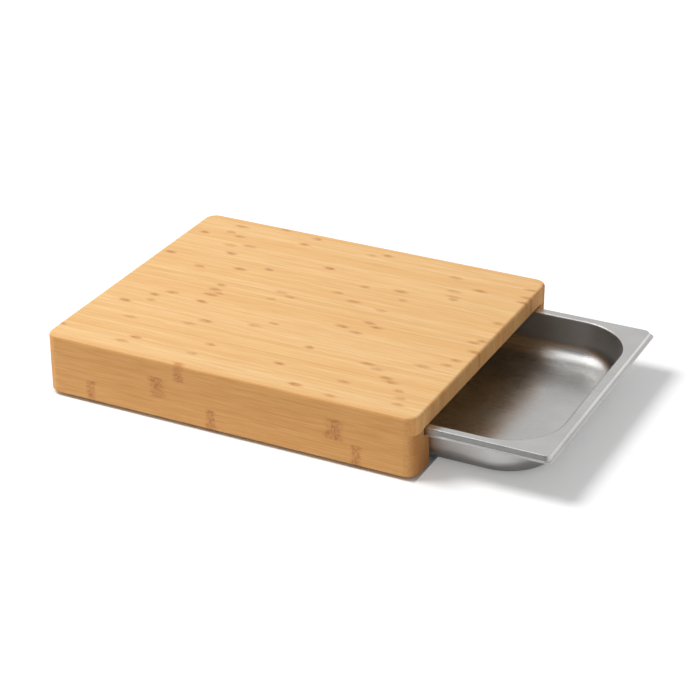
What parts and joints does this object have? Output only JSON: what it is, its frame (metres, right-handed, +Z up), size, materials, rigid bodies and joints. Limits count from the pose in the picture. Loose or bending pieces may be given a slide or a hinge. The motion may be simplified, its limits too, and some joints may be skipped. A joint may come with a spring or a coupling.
{
  "type": "cutting board with tray",
  "caption": "Bamboo cutting board on rails, with a shallow steel tray that hangs under the slab and slides out of one end to catch cut food.",
  "frame": {"origin": "on the worktop, under the middle of the board and its drawn-out tray taken together, as it stands in the picture", "axes": "+X along the board, the way the tray is drawn out; +Y from the front to the back; +Z up, out of the cutting surface"},
  "size_m": [0.4824, 0.305, 0.0602],
  "materials": {
    "bamboo": "oiled, satin",
    "tray_steel": "satin stainless steel",
    "foot_rubber": "matt"
  },
  "bodies": {
    "board": {"top_slab": "bamboo", "front_rail_lower": "bamboo", "front_rail_upper": "bamboo", "rear_rail_lower": "bamboo", "rear_rail_upper": "bamboo", "end_rail_lower": "bamboo", "end_rail_upper": "bamboo", "foot_front_left": "foot_rubber", "foot_front_right": "foot_rubber", "foot_rear_left": "foot_rubber", "foot_rear_right": "foot_rubber"},
    "tray": {"tray": "tray_steel"}
  },
  "joints": [
    {"name": "tray_slide", "type": "slide", "parent": "board", "child": "tray", "axis": [1, 0, 0], "range_m": [-0.109, 0.21]}
  ]
}
